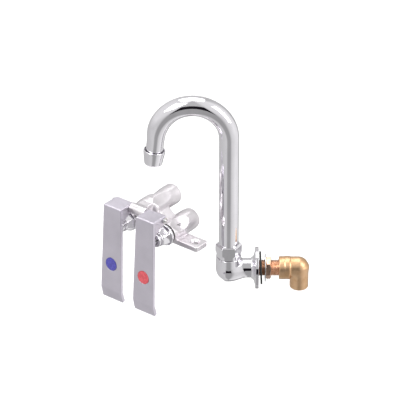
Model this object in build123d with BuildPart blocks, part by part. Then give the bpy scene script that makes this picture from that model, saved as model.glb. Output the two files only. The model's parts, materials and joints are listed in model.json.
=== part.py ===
from build123d import *
from math import atan2, cos, degrees, radians, sin
import os

# Gooseneck faucet on a wall shank, with its separate double knee valve.
# Origin: centre of the wall flange's back face, on the shank's axis.
# +X runs along the shank into the wall, +Z is up. All sizes are in millimetres.

# ---- spout, on its upright axis -------------------------------------------------
riser_x = -38.0
tube_r = 12.5
tube_bore_r = 10.9
arc_r = 45.0
arc_z = 190.4
arc_sweep = 172.0
drawn_from = 80.0
drawn_steps = 4
tail_r = 9.2
tail_bore_r = 7.7
tail_length = 30.0
ferrule_start = 23.6
ferrule_r = 10.8

# ---- swivel joint at the foot of the spout ----------------------------------------
body_r = 16.4
seam_z = 17.5
spigot_top_z = 27.0
spigot_r = 13.45
swivel_bore_r = 11.0
bore_floor_z = 1.0
swivel_gap = 0.3
seam_gap = 0.15
collar_r = 13.2
collar_top_z = 29.8
nut_top_z = 36.5
nut_flats = 29.1
nut_turned_r = 18.0
nut_skirt_r = 15.5
nut_skirt_z = 26.0
nut_hole_r = 12.58
nut_chamfer = 2.8
sleeve_length = 9.0
sleeve_cone = 5.0
sleeve_wall = 1.6
o_ring_wire_r = 0.9
o_ring_groove = 2.4
o_ring_heights = {"lower_swivel_seal": 8.5, "upper_swivel_seal": 15.5}

# ---- aerator, measured along the spout's tail -------------------------------------
aerator_top = 20.5
aerator_end = 40.0
aerator_top_r = 13.5
aerator_end_r = 11.2
aerator_thread_r = 10.85
aerator_step = 32.5
aerator_cup_r = 9.6
aerator_mouth_r = 8.6
aerator_rim = 1.2
aerator_lip = 1.2

# ---- arm, wall flange and shank, on the X axis ------------------------------------
arm_r = 12.5
arm_end_x = -3.0
waterway_r = 7.5
shank_r = 10.45
shank_start_x = -16.0
shank_end_x = 39.0
flange_r = 26.6
flange_start_x = -9.2
flange_rim_x = -4.6
flange_recess_r = 22.0
flange_recess_depth = 1.0
rubber_x = 2.9
rubber_r = 21.0
rubber_thickness = 2.4
rubber_tilt = 2.8
steel_x = 7.9
steel_r = 17.7
steel_thickness = 1.2
lock_nut_x = 9.2
lock_nut_length = 6.5
lock_nut_flats = 25.4
lock_nut_turned_r = 14.8
lock_nut_chamfer = 1.2
lock_nut_angle = 12.0
thread_clearance = 0.05

# ---- brass outlet elbow -----------------------------------------------------------
socket_x = 25.75
socket_r = 14.6
socket_end_x = 40.0
knee_x = 50.3
knee_z = 1.4
knee_r = 13.2
leg_x = 51.6
leg_r = 11.9
leg_bottom_z = -27.5
outlet_r = 8.2
outlet_depth = 15.0

# ---- knee valve, in its own frame: x across, y to the rear, z up -------------------
valve_x = -139.4
valve_z = 61.0
valve_yaw = -38.0
barrel_x = 29.5
barrel_r = 14.6
barrel_length = 52.0
centre_z = 25.0
centre_r = 13.5
centre_bore_start = 9.0
outlet_thread_r = 9.8
outlet_thread_start = 32.0
web_start = 7.0
web_length = 19.0
web_thickness = 12.5
web_reach = 30.0
duct_y = 16.0
duct_r = 4.0
neck_half_width = 8.0
neck_rear_y = 8.0
neck_foot_z = 17.0

front_bore_r = 10.4
front_bore_depth = 20.5
seat_wall_end = 25.0
seat_thread_r = 7.5
chamber_r = 8.6
chamber_end = 40.0
inlet_start = 41.5
inlet_r = 10.0
retainer_r = 9.6

ear_inner_x = 36.0
ear_outer_x = 73.5
ear_front_y = 5.5
ear_rear_y = 28.0
ear_thickness = 6.6
ear_hole_x = 62.0
ear_hole_y = 17.0
ear_corner = 3.0
ear_hole_r = 3.6
ear_sink_r = 6.4

# ---- hinge and pedals ---------------------------------------------------------------
hinge_y = -16.5
hinge_z = 30.0
boss_r = 7.2
pin_r = 2.5
pin_clearance = 0.05
pin_half = 43.5
clip_x = 41.6
clip_groove_r = 2.0
clip_thickness = 0.8
pedal_x = 26.0
pedal_top_width = 27.5
pedal_foot_width = 33.0
pedal_thickness = 5.0
pedal_corner_r = 5.0
pedal_top_z = 35.5
pedal_front_y = -38.0
pedal_rear_y = -12.5
pedal_drop = 118.0
pedal_lean = 6.0
lip_length = 16.0
lip_angle = 14.0
cheek_thickness = 3.5
cheek_foot_z = 15.0
dot_r = 8.75
dot_drop = 81.0
dot_recess = 0.6
dot_proud = 0.25

# ---- bonnet, stem and seat, measured along each side barrel ----------------------------
seal_y = -1.0
seal_ring_r = 13.2
seal_wire_r = 0.98
bonnet_flange_y = -2.0
bonnet_hex_y = -5.6
bonnet_nose_y = -16.5
bonnet_end_y = -23.5
bonnet_flange_r = 14.3
bonnet_flats = 22.0
bonnet_thread_end = 11.0
piston_bore_y = -6.0
button_bore_y = -18.5
stem_r = 3.0
piston_r = 5.0
piston_start = -4.0
piston_end = 4.0
stem_clearance = 0.05
stem_tip_y = -35.7
stem_button_r = 4.5
button_rear_y = -22.7
disc_y = 25.7
disc_thickness = 3.0
disc_r = 7.0
disc_nut_thickness = 2.2
spring_r = 5.2
spring_wire_r = 0.55
spring_turns = 4
stem_end_y = 31.6
retainer_hole_r = 4.2

# ---- frames and axes --------------------------------------------------------------------
riser_axis = Axis((riser_x, 0, 0), (0, 0, 1))
arc_centre = Vector(riser_x - arc_r, 0, arc_z)
tail_angle = radians(180 - arc_sweep)
tail_dir = Vector(-sin(tail_angle), 0, -cos(tail_angle))
tail_start = Vector(riser_x - arc_r * (1 + cos(tail_angle)), 0, arc_z + arc_r * sin(tail_angle))
tail_axis = Axis(tail_start, tail_dir)
# In this plane the first coordinate is the radius and the second runs along the tail.
tail_plane = Plane(origin=tail_start, x_dir=(cos(tail_angle), 0, -sin(tail_angle)), z_dir=(0, 1, 0))

valve = Plane(
    origin=(valve_x, 0, valve_z),
    x_dir=(cos(radians(valve_yaw)), sin(radians(valve_yaw)), 0),
    z_dir=(0, 0, 1),
)


def valve_point(x, y, z):
    """World position of a point given in the valve's own frame."""
    return valve.from_local_coords(Vector(x, y, z))


def side_plane(x=0.0):
    """Upright plane along the barrels: first coordinate to the rear, second upwards."""
    return Plane(origin=valve_point(x, 0, 0), x_dir=valve.y_dir, z_dir=valve.x_dir)


def front_plane(y=0.0):
    """Upright plane across the barrels, facing the front: first coordinate across, second up."""
    return Plane(origin=valve_point(0, y, 0), x_dir=valve.x_dir, z_dir=-valve.y_dir)


def barrel_axis(x, z):
    return Axis(valve_point(x, 0, z), valve.y_dir)


def revolved_x(outline):
    """Solid of revolution about the X axis from (x, radius) points."""
    with BuildPart() as turned:
        with BuildSketch(Plane.XZ):
            with BuildLine():
                Polyline(*outline, close=True)
            make_face()
        revolve(axis=Axis.X)
    return turned


def revolved_barrel(x, outline, z=0.0):
    """Solid of revolution about a barrel's axis from (y, radius) points."""
    with BuildPart() as turned:
        with BuildSketch(side_plane(x)):
            with BuildLine():
                Polyline(*[(along, z + radius) for along, radius in outline], close=True)
            make_face()
        revolve(axis=barrel_axis(x, z))
    return turned


def revolved_tail(outline):
    """Solid of revolution about the spout's tail from (radius, distance) points."""
    with BuildPart() as turned:
        with BuildSketch(tail_plane):
            with BuildLine():
                Polyline(*outline, close=True)
            make_face()
        revolve(axis=tail_axis)
    return turned


pieces = {}

# =============================== spout on its wall shank ==================================

# Cast elbow: an upright barrel with a round bottom and an arm towards the wall.
with BuildPart() as elbow_body:
    with BuildSketch(Plane.XZ):
        with BuildLine():
            Polyline((riser_x, -body_r), (riser_x, spigot_top_z), (riser_x + spigot_r, spigot_top_z),
                     (riser_x + spigot_r, seam_z), (riser_x + body_r, seam_z), (riser_x + body_r, 0))
            RadiusArc((riser_x + body_r, 0), (riser_x, -body_r), body_r)
        make_face()
    revolve(axis=riser_axis)
    with BuildSketch(Plane.YZ.offset(riser_x)):
        Circle(arm_r)
    extrude(amount=arm_end_x - riser_x)
    with BuildSketch(Plane.XY.offset(bore_floor_z)):
        with Locations((riser_x, 0)):
            Circle(swivel_bore_r)
    extrude(amount=spigot_top_z - bore_floor_z, mode=Mode.SUBTRACT)
    with BuildSketch(Plane.YZ.offset(riser_x)):
        Circle(waterway_r)
    extrude(amount=arm_end_x - riser_x, mode=Mode.SUBTRACT)
    with BuildSketch(Plane.YZ.offset(shank_start_x)):
        Circle(shank_r)
    extrude(amount=arm_end_x - shank_start_x, mode=Mode.SUBTRACT)
pieces["elbow_body"] = elbow_body

# Hexagonal nut with a round skirt; it holds the spout's collar down on the body.
with BuildPart() as swivel_nut:
    with BuildSketch(Plane.XY.offset(seam_z)):
        with Locations((riser_x, 0)):
            RegularPolygon(nut_flats / 2, 6, major_radius=False)
    extrude(amount=nut_top_z - seam_z)
    with BuildSketch(Plane.XY.offset(seam_z)):
        with Locations((riser_x, 0)):
            Circle(nut_skirt_r)
    extrude(amount=nut_skirt_z - seam_z)
    with BuildSketch(Plane.XZ):
        with BuildLine():
            Polyline((riser_x + nut_hole_r, seam_z + seam_gap), (riser_x + nut_skirt_r, seam_z + seam_gap),
                     (riser_x + nut_skirt_r, nut_skirt_z - nut_chamfer),
                     (riser_x + nut_turned_r, nut_skirt_z),
                     (riser_x + nut_turned_r, nut_top_z - nut_chamfer),
                     (riser_x + nut_hole_r + 0.4, nut_top_z),
                     (riser_x + nut_hole_r, nut_top_z), close=True)
        make_face()
    revolve(axis=riser_axis, mode=Mode.INTERSECT)
    with BuildSketch(Plane.XY.offset(seam_z)):
        with Locations((riser_x, 0)):
            Circle(spigot_r + thread_clearance)
    extrude(amount=collar_top_z + swivel_gap - seam_z, mode=Mode.SUBTRACT)
pieces["swivel_nut"] = swivel_nut

def arc_plane(turn):
    """Plane across the arc at an angle from its start, facing along the tube."""
    across = radians(turn)
    centre = arc_centre + Vector(cos(across), 0, sin(across)) * arc_r
    return Plane(origin=centre, x_dir=(0, 1, 0), z_dir=(-sin(across), 0, cos(across)))


# Bent tube: upright, then an arc whose second half is drawn down to a slimmer tail.
# A threaded ferrule on the tail's end carries the aerator.
with BuildPart() as gooseneck_tube:
    with BuildSketch(Plane.XY.offset(collar_top_z)):
        with Locations((riser_x, 0)):
            Circle(tube_r)
            Circle(tube_bore_r, mode=Mode.SUBTRACT)
    extrude(amount=arc_z - collar_top_z)
    with BuildSketch(Plane.XY.offset(arc_z)):
        with Locations((riser_x, 0)):
            Circle(tube_r)
            Circle(tube_bore_r, mode=Mode.SUBTRACT)
    revolve(axis=Axis(arc_centre, (0, -1, 0)), revolution_arc=drawn_from)
    for start_r, end_r, mode in ((tube_r, tail_r, Mode.ADD), (tube_bore_r, tail_bore_r, Mode.SUBTRACT)):
        for step in range(drawn_steps + 1):
            share = step / drawn_steps
            with BuildSketch(arc_plane(drawn_from + share * (arc_sweep - drawn_from))):
                Circle(start_r + share * (end_r - start_r))
        loft(mode=mode)
    with BuildSketch(tail_plane):
        with BuildLine():
            Polyline((tail_bore_r, 0), (tail_r, 0), (tail_r, ferrule_start), (ferrule_r, ferrule_start),
                     (ferrule_r, tail_length), (tail_bore_r, tail_length), close=True)
        make_face()
    revolve(axis=tail_axis)
pieces["gooseneck_tube"] = gooseneck_tube

# Turned foot of the spout: a sleeve in the tube, the collar under the nut, and the
# stem with two seal grooves that turns in the body.
o_ring_centre_r = swivel_bore_r - 0.03 - o_ring_wire_r
with BuildPart() as swivel_spigot:
    with BuildSketch(Plane.XZ):
        with BuildLine():
            Polyline((riser_x + waterway_r, bore_floor_z + 1.0),
                     (riser_x + swivel_bore_r - 0.05, bore_floor_z + 1.0),
                     (riser_x + swivel_bore_r - 0.05, spigot_top_z + swivel_gap),
                     (riser_x + collar_r, spigot_top_z + swivel_gap),
                     (riser_x + collar_r, collar_top_z),
                     (riser_x + tube_bore_r - 0.02, collar_top_z),
                     (riser_x + tube_bore_r - 0.02, collar_top_z + sleeve_length),
                     (riser_x + tube_bore_r - sleeve_wall, collar_top_z + sleeve_length),
                     (riser_x + waterway_r, collar_top_z + sleeve_length - sleeve_cone), close=True)
        make_face()
    revolve(axis=riser_axis)
    for height in o_ring_heights.values():
        with BuildSketch(Plane.XY.offset(height - o_ring_groove / 2)):
            with Locations((riser_x, 0)):
                Circle(swivel_bore_r)
                Circle(o_ring_centre_r - o_ring_wire_r, mode=Mode.SUBTRACT)
        extrude(amount=o_ring_groove, mode=Mode.SUBTRACT)
pieces["swivel_spigot"] = swivel_spigot

for name, height in o_ring_heights.items():
    with BuildPart() as swivel_seal:
        with BuildSketch(Plane.XZ):
            with Locations((riser_x + o_ring_centre_r, height)):
                Circle(o_ring_wire_r)
        revolve(axis=riser_axis)
    pieces[name] = swivel_seal

# Flared aerator cup, its sealing washer and the perforated insert.
pieces["aerator_shell"] = revolved_tail([
    (aerator_top_r - aerator_rim, aerator_top), (aerator_top_r - 0.3, aerator_top),
    (aerator_top_r, aerator_top + 0.6), (aerator_top_r, aerator_top + 3.5),
    (aerator_end_r, aerator_end - 1.6), (aerator_end_r - 0.9, aerator_end),
    (aerator_mouth_r, aerator_end), (aerator_mouth_r, aerator_end - aerator_lip),
    (aerator_cup_r, aerator_end - aerator_lip), (aerator_cup_r, aerator_step),
    (aerator_thread_r, aerator_step), (aerator_thread_r, aerator_top + 4.0),
    (aerator_top_r - aerator_rim, aerator_top + 4.0),
])
pieces["aerator_washer"] = revolved_tail([
    (7.2, tail_length), (10.7, tail_length), (10.7, tail_length + 1.2), (7.2, tail_length + 1.2),
])
insert_rim = tail_length + 1.2
insert_floor = aerator_end - 1.7
with BuildPart() as aerator_insert:
    with BuildSketch(tail_plane):
        with BuildLine():
            Polyline((0, insert_floor - 1.0), (0, insert_floor), (9.5, insert_floor), (9.5, aerator_step),
                     (10.7, aerator_step), (10.7, insert_rim), (8.3, insert_rim), (8.3, insert_floor - 1.0),
                     close=True)
        make_face()
    revolve(axis=tail_axis)
    insert_face = Plane(origin=tail_start + tail_dir * (insert_floor - 2.0),
                        x_dir=(0, 1, 0), z_dir=tail_dir)
    with BuildSketch(insert_face):
        for ring_r, holes in ((2.6, 6), (5.2, 12), (7.3, 16)):
            with PolarLocations(ring_r, holes):
                Circle(0.65)
    extrude(amount=4.0, mode=Mode.SUBTRACT)
pieces["aerator_insert"] = aerator_insert

# Trumpet-shaped wall flange round the end of the arm, with a recess behind for the washer.
with BuildPart() as wall_flange:
    with BuildSketch(Plane.XZ):
        with BuildLine():
            Polyline((arm_end_x, arm_r + 0.02), (flange_start_x, arm_r + 0.02),
                     (flange_start_x, arm_r + 0.8))
            TangentArc((flange_start_x, arm_r + 0.8), (flange_rim_x, flange_r - 1.2),
                       tangent=(0.9, 0.45))
            Polyline((flange_rim_x, flange_r - 1.2), (flange_rim_x + 1.6, flange_r), (-0.5, flange_r),
                     (0, flange_r - 0.5), (0, flange_recess_r), (-flange_recess_depth, flange_recess_r),
                     (-flange_recess_depth, shank_r + 0.6), (arm_end_x, shank_r + 0.6),
                     (arm_end_x, arm_r + 0.02))
        make_face()
    revolve(axis=Axis.X)
pieces["wall_flange"] = wall_flange

pieces["threaded_shank"] = revolved_x([
    (shank_start_x, waterway_r), (shank_start_x, shank_r - 0.8), (shank_start_x + 0.8, shank_r),
    (shank_end_x - 0.8, shank_r), (shank_end_x, shank_r - 0.8), (shank_end_x, waterway_r),
])

tilt = radians(rubber_tilt)
with BuildPart() as rubber_washer:
    with BuildSketch(Plane(origin=(rubber_x, 0, 0), x_dir=(0, 1, 0), z_dir=(cos(tilt), 0, sin(tilt)))):
        Circle(rubber_r)
        Circle(shank_r + 0.8, mode=Mode.SUBTRACT)
    extrude(amount=rubber_thickness / 2, both=True)
pieces["rubber_washer"] = rubber_washer

pieces["steel_washer"] = revolved_x([
    (steel_x, shank_r + 0.35), (steel_x, steel_r), (steel_x + steel_thickness, steel_r),
    (steel_x + steel_thickness, shank_r + 0.35),
])

with BuildPart() as lock_nut:
    with BuildSketch(Plane.YZ.offset(lock_nut_x)):
        RegularPolygon(lock_nut_flats / 2, 6, major_radius=False, rotation=lock_nut_angle)
    extrude(amount=lock_nut_length)
    with BuildSketch(Plane.XZ):
        with BuildLine():
            Polyline((lock_nut_x, 0), (lock_nut_x, lock_nut_flats / 2),
                     (lock_nut_x + lock_nut_chamfer, lock_nut_turned_r),
                     (lock_nut_x + lock_nut_length - lock_nut_chamfer, lock_nut_turned_r),
                     (lock_nut_x + lock_nut_length, lock_nut_flats / 2), (lock_nut_x + lock_nut_length, 0),
                     close=True)
        make_face()
    revolve(axis=Axis.X, mode=Mode.INTERSECT)
    with BuildSketch(Plane.YZ.offset(lock_nut_x)):
        Circle(shank_r + thread_clearance)
    extrude(amount=lock_nut_length, mode=Mode.SUBTRACT)
pieces["lock_nut"] = lock_nut

# Reducing elbow: wide socket on the shank, rounded knee, narrower leg pointing down.
with BuildPart() as brass_elbow:
    with BuildSketch(Plane.YZ.offset(socket_x)):
        Circle(socket_r)
    extrude(amount=socket_end_x - socket_x)
    with BuildSketch(Plane.YZ.offset(socket_end_x - 2.0)):
        with Locations((0, knee_z)):
            Circle(knee_r)
    extrude(amount=knee_x - socket_end_x + 2.0)
    with BuildSketch(Plane.XZ):
        with BuildLine():
            Line((knee_x, knee_z - knee_r), (knee_x, knee_z + knee_r))
            RadiusArc((knee_x, knee_z + knee_r), (knee_x, knee_z - knee_r), knee_r)
        make_face()
    revolve(axis=Axis((knee_x, 0, 0), (0, 0, 1)))
    with BuildSketch(Plane.XY.offset(leg_bottom_z)):
        with Locations((leg_x, 0)):
            Circle(leg_r)
    extrude(amount=knee_z - leg_bottom_z)
    chamfer(brass_elbow.faces().sort_by(Axis.Z)[0].edges(), 0.8)
    chamfer(brass_elbow.faces().sort_by(Axis.X)[0].edges(), 0.8)
    with BuildSketch(Plane.YZ.offset(socket_x)):
        Circle(shank_r)
    extrude(amount=shank_end_x + 1.5 - socket_x, mode=Mode.SUBTRACT)
    with BuildSketch(Plane.YZ.offset(socket_x)):
        Circle(waterway_r)
    extrude(amount=leg_x - socket_x, mode=Mode.SUBTRACT)
    with BuildSketch(Plane.XY.offset(leg_bottom_z)):
        with Locations((leg_x, 0)):
            Circle(outlet_r)
    extrude(amount=outlet_depth, mode=Mode.SUBTRACT)
    with BuildSketch(Plane.XY.offset(leg_bottom_z)):
        with Locations((leg_x, 0)):
            Circle(waterway_r - 0.5)
    extrude(amount=-leg_bottom_z, mode=Mode.SUBTRACT)
pieces["brass_elbow"] = brass_elbow

# =============================== double knee valve =========================================

# Cast body: two inlet barrels, a higher outlet barrel, webs with the ducts,
# the hinge boss and two mounting ears.
web_angle = degrees(atan2(centre_z, barrel_x))
with BuildPart() as valve_body:
    with BuildSketch(front_plane(0)):
        with Locations((-barrel_x, 0), (barrel_x, 0)):
            Circle(barrel_r)
    extrude(amount=-barrel_length)
    with BuildSketch(front_plane(0)):
        with Locations((0, centre_z)):
            Circle(centre_r)
    extrude(amount=-barrel_length)
    fillet(valve_body.edges().filter_by(GeomType.CIRCLE).group_by(Axis(valve.origin, valve.y_dir))[-1], 1.6)
    along_valve = Axis(valve.origin, valve.y_dir)
    centre_front = valve_body.edges().filter_by(GeomType.CIRCLE).group_by(along_valve)[0]
    fillet(centre_front.filter_by(lambda edge: abs(edge.radius - centre_r) < 0.01), 7.0)
    with BuildSketch(front_plane(web_start)):
        for side in (-1, 1):
            with Locations(Location((side * barrel_x / 2, centre_z / 2), -side * web_angle)):
                Rectangle(web_reach, web_thickness)
    extrude(amount=-web_length)
    with BuildSketch(side_plane()):
        with Locations((hinge_y, hinge_z)):
            Circle(boss_r)
    extrude(amount=pedal_x - pedal_top_width / 2 - 0.3, both=True)
    with BuildSketch(side_plane()):
        with BuildLine():
            Polyline((hinge_y, hinge_z + boss_r - 1.2), (neck_rear_y - 4, hinge_z + boss_r - 1.2),
                     (neck_rear_y, centre_z), (neck_rear_y - 4, neck_foot_z),
                     (hinge_y + 3, hinge_z - boss_r + 1.5), close=True)
        make_face()
    extrude(amount=neck_half_width, both=True)
    with BuildSketch(valve.offset(-barrel_r)):
        for side in (-1, 1):
            with BuildLine():
                Polyline((side * ear_inner_x, ear_front_y),
                         (side * (ear_outer_x - ear_corner), ear_front_y),
                         (side * ear_outer_x, ear_front_y + ear_corner),
                         (side * ear_outer_x, ear_rear_y - ear_corner),
                         (side * (ear_outer_x - ear_corner), ear_rear_y), (side * ear_inner_x, ear_rear_y),
                         close=True)
            make_face()
    extrude(amount=ear_thickness)
    with Locations(valve.offset(ear_thickness - barrel_r)):
        with Locations((-ear_hole_x, ear_hole_y), (ear_hole_x, ear_hole_y)):
            CounterSinkHole(ear_hole_r, ear_sink_r, depth=ear_thickness)
    for side in (-1, 1):
        for start, end, radius in ((0, front_bore_depth, front_bore_r), (0, seat_wall_end, seat_thread_r),
                                   (seat_wall_end, chamber_end, chamber_r),
                                   (chamber_end, inlet_start, retainer_r),
                                   (inlet_start, barrel_length, inlet_r)):
            with BuildSketch(front_plane(start)):
                with Locations((side * barrel_x, 0)):
                    Circle(radius)
            extrude(amount=start - end, mode=Mode.SUBTRACT)
    for start, radius in ((centre_bore_start, waterway_r), (outlet_thread_start, outlet_thread_r)):
        with BuildSketch(front_plane(start)):
            with Locations((0, centre_z)):
                Circle(radius)
        extrude(amount=start - barrel_length, mode=Mode.SUBTRACT)
    for side in (-1, 1):
        duct_start = valve_point(side * barrel_x, duct_y, 0)
        duct_end = valve_point(0, duct_y, centre_z)
        with BuildSketch(Plane(origin=duct_start, z_dir=duct_end - duct_start)):
            Circle(duct_r)
        extrude(amount=(duct_end - duct_start).length, mode=Mode.SUBTRACT)
    with BuildSketch(side_plane()):
        with Locations((hinge_y, hinge_z)):
            Circle(pin_r)
    extrude(amount=pedal_x, both=True, mode=Mode.SUBTRACT)
pieces["valve_body"] = valve_body

# One pin carries both pedals; a clip sits in a groove near each end.
with BuildPart() as hinge_pin:
    with BuildSketch(side_plane()):
        with Locations((hinge_y, hinge_z)):
            Circle(pin_r)
    extrude(amount=pin_half, both=True)
    for side in (-1, 1):
        with BuildSketch(side_plane(side * clip_x - clip_thickness / 2)):
            with Locations((hinge_y, hinge_z)):
                Circle(pin_r + 1)
                Circle(clip_groove_r, mode=Mode.SUBTRACT)
        extrude(amount=clip_thickness, mode=Mode.SUBTRACT)
pieces["hinge_pin"] = hinge_pin

with BuildPart() as pin_clips:
    for side in (-1, 1):
        with BuildSketch(side_plane(side * clip_x - clip_thickness / 2)):
            with Locations((hinge_y, hinge_z)):
                Circle(pin_r + 1.6)
                Circle(clip_groove_r, mode=Mode.SUBTRACT)
            with Locations((hinge_y, hinge_z - 3)):
                Rectangle(2.4, 4, mode=Mode.SUBTRACT)
        extrude(amount=clip_thickness)
pieces["pin_clips"] = pin_clips

lean = radians(pedal_lean)
lip = radians(lip_angle)
bend_y = pedal_front_y - pedal_drop * sin(lean)
bend_z = pedal_top_z - pedal_drop * cos(lean)
foot_y = bend_y + lip_length * sin(lip)
foot_z = bend_z - lip_length * cos(lip)
dot_y = pedal_front_y - dot_drop * sin(lean)
dot_z = pedal_top_z - dot_drop * cos(lean)


def dot_plane(side):
    """Plane on a pedal's front face at the dot's centre, facing the front."""
    return Plane(origin=valve_point(side * pedal_x, dot_y, dot_z), x_dir=valve.x_dir,
                 z_dir=-valve.y_dir * cos(lean) + valve.z_dir * sin(lean))


def make_pedal(side):
    """L-shaped pedal with a bent lip, two cheeks round the hinge pin and a dot recess."""
    centre = side * pedal_x
    with BuildPart() as pedal:
        with BuildSketch(side_plane(centre)):
            with BuildLine():
                Polyline((pedal_rear_y, pedal_top_z), (pedal_front_y, pedal_top_z), (bend_y, bend_z),
                         (foot_y, foot_z),
                         (foot_y + pedal_thickness * cos(lip), foot_z + pedal_thickness * sin(lip)),
                         (bend_y + pedal_thickness, bend_z),
                         (pedal_front_y + pedal_thickness, pedal_top_z - pedal_thickness),
                         (pedal_rear_y, pedal_top_z - pedal_thickness), close=True)
            make_face()
        extrude(amount=pedal_foot_width, both=True)
        with BuildSketch(front_plane(0)):
            with BuildLine():
                Polyline((centre - pedal_top_width / 2, pedal_top_z),
                         (centre + pedal_top_width / 2, pedal_top_z),
                         (centre + pedal_foot_width / 2, foot_z - 1),
                         (centre - pedal_foot_width / 2, foot_z - 1),
                         close=True)
            make_face()
        extrude(amount=80, both=True, mode=Mode.INTERSECT)
        rear_face = pedal.faces().sort_by(Axis(valve.origin, valve.y_dir))[-1]
        corners = rear_face.edges().filter_by(lambda edge: abs(edge.tangent_at(0).Z) > 0.9)
        outer_corner = corners.sort_by(Axis(valve.origin, valve.x_dir * side))[-1]
        fillet(outer_corner, pedal_corner_r)
        for cheek_side in (-1, 1):
            inner = centre + cheek_side * (pedal_top_width / 2 - cheek_thickness)
            with BuildSketch(side_plane(inner)):
                with BuildLine():
                    Polyline((pedal_front_y + 2, pedal_top_z - 2), (pedal_rear_y, pedal_top_z - 2),
                             (pedal_rear_y, hinge_z - 2.5), (hinge_y - 1, hinge_z - 5.5),
                             (pedal_front_y + 3, cheek_foot_z), close=True)
                make_face()
            extrude(amount=cheek_side * cheek_thickness)
        with BuildSketch(side_plane(centre)):
            with Locations((hinge_y, hinge_z)):
                Circle(pin_r + pin_clearance)
        extrude(amount=pedal_top_width, both=True, mode=Mode.SUBTRACT)
        with BuildSketch(dot_plane(side).offset(1.0)):
            Circle(dot_r)
        extrude(amount=-1.0 - dot_recess, mode=Mode.SUBTRACT)
    return pedal


def make_dot(side):
    """Coloured disc set in the pedal's front face."""
    with BuildPart() as dot:
        with BuildSketch(dot_plane(side).offset(-dot_recess)):
            Circle(dot_r - 0.05)
        extrude(amount=dot_recess + dot_proud)
    return dot


def make_bonnet(side):
    """Hexagonal bonnet: flange against the seal, conical nose, threaded rear part."""
    x = side * barrel_x
    with BuildPart() as bonnet:
        with BuildSketch(front_plane(bonnet_hex_y)):
            with Locations((x, 0)):
                RegularPolygon(bonnet_flats / 2, 6, major_radius=False, rotation=30)
        extrude(amount=bonnet_hex_y - bonnet_nose_y)
        with BuildSketch(side_plane(x)):
            with BuildLine():
                Polyline((bonnet_hex_y, 0), (bonnet_hex_y, 14.0), (bonnet_nose_y, 10.4), (bonnet_nose_y, 0),
                         close=True)
            make_face()
        revolve(axis=barrel_axis(x, 0), mode=Mode.INTERSECT)
        with BuildSketch(side_plane(x)):
            with BuildLine():
                Polyline((bonnet_thread_end, 0), (bonnet_thread_end, front_bore_r - thread_clearance),
                         (bonnet_flange_y, front_bore_r - thread_clearance),
                         (bonnet_flange_y, bonnet_flange_r),
                         (bonnet_hex_y + 0.6, bonnet_flange_r), (bonnet_hex_y, bonnet_flange_r - 0.6),
                         (bonnet_hex_y, 9.6), (bonnet_nose_y - 2.0, 9.6), (bonnet_nose_y - 2.0, 7.6),
                         (bonnet_nose_y - 3.5, 7.6), (bonnet_nose_y - 3.5, 8.8), (bonnet_end_y + 1.2, 8.8),
                         (bonnet_end_y, 7.6), (bonnet_end_y, 0), close=True)
            make_face()
        revolve(axis=barrel_axis(x, 0))
        for start, end, radius in ((bonnet_end_y, bonnet_thread_end, stem_r + stem_clearance),
                                   (piston_bore_y, bonnet_thread_end, piston_r + stem_clearance),
                                   (bonnet_end_y, button_bore_y, stem_button_r + 0.4)):
            with BuildSketch(front_plane(start)):
                with Locations((x, 0)):
                    Circle(radius)
            extrude(amount=start - end, mode=Mode.SUBTRACT)
    return bonnet


def make_ring(x, y, ring_r, wire_r):
    """Round seal ring about a side barrel's axis."""
    with BuildPart() as ring:
        with BuildSketch(side_plane(x)):
            with Locations((y, ring_r)):
                Circle(wire_r)
        revolve(axis=barrel_axis(x, 0))
    return ring


def make_stem(side):
    """Push stem: rounded button in front, sealing piston, and the spigot for the disc."""
    x = side * barrel_x
    groove_r = piston_r - 1.6
    with BuildPart() as stem:
        with BuildSketch(side_plane(x)):
            with BuildLine():
                Polyline((stem_tip_y, 0), (stem_tip_y, 2.0))
                RadiusArc((stem_tip_y, 2.0), (stem_tip_y + 2.5, stem_button_r), -2.6)
                Polyline((stem_tip_y + 2.5, stem_button_r), (button_rear_y, stem_button_r),
                         (button_rear_y, stem_r), (piston_start, stem_r), (piston_start, piston_r),
                         (-1.0, piston_r), (-1.0, groove_r), (1.0, groove_r), (1.0, piston_r),
                         (piston_end, piston_r), (piston_end, stem_r), (disc_y, stem_r), (disc_y, 2.0),
                         (stem_end_y, 2.0), (stem_end_y, 0), (stem_tip_y, 0))
            make_face()
        revolve(axis=barrel_axis(x, 0))
    return stem


def make_disc_nut(side):
    """Small hexagonal nut that holds the disc on the stem and takes the spring."""
    x = side * barrel_x
    start = disc_y + disc_thickness
    with BuildPart() as disc_nut:
        with BuildSketch(front_plane(start)):
            with Locations((x, 0)):
                RegularPolygon(6.0, 6, major_radius=True)
                Circle(2.0, mode=Mode.SUBTRACT)
        extrude(amount=-disc_nut_thickness)
    return disc_nut


def make_spring(side):
    """Closing spring between the disc nut and the retainer, as stacked round turns."""
    x = side * barrel_x
    start = disc_y + disc_thickness + disc_nut_thickness + spring_wire_r + 0.05
    end = chamber_end - spring_wire_r - 0.05
    height = end - start
    with BuildPart() as spring:
        with BuildLine() as coil:
            Helix(pitch=height / spring_turns, height=height, radius=spring_r,
                  center=valve_point(x, start, 0), direction=valve.y_dir)
        with BuildSketch(Plane(origin=coil.line @ 0, z_dir=coil.line % 0)):
            Circle(spring_wire_r)
        sweep()
    return spring


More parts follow.
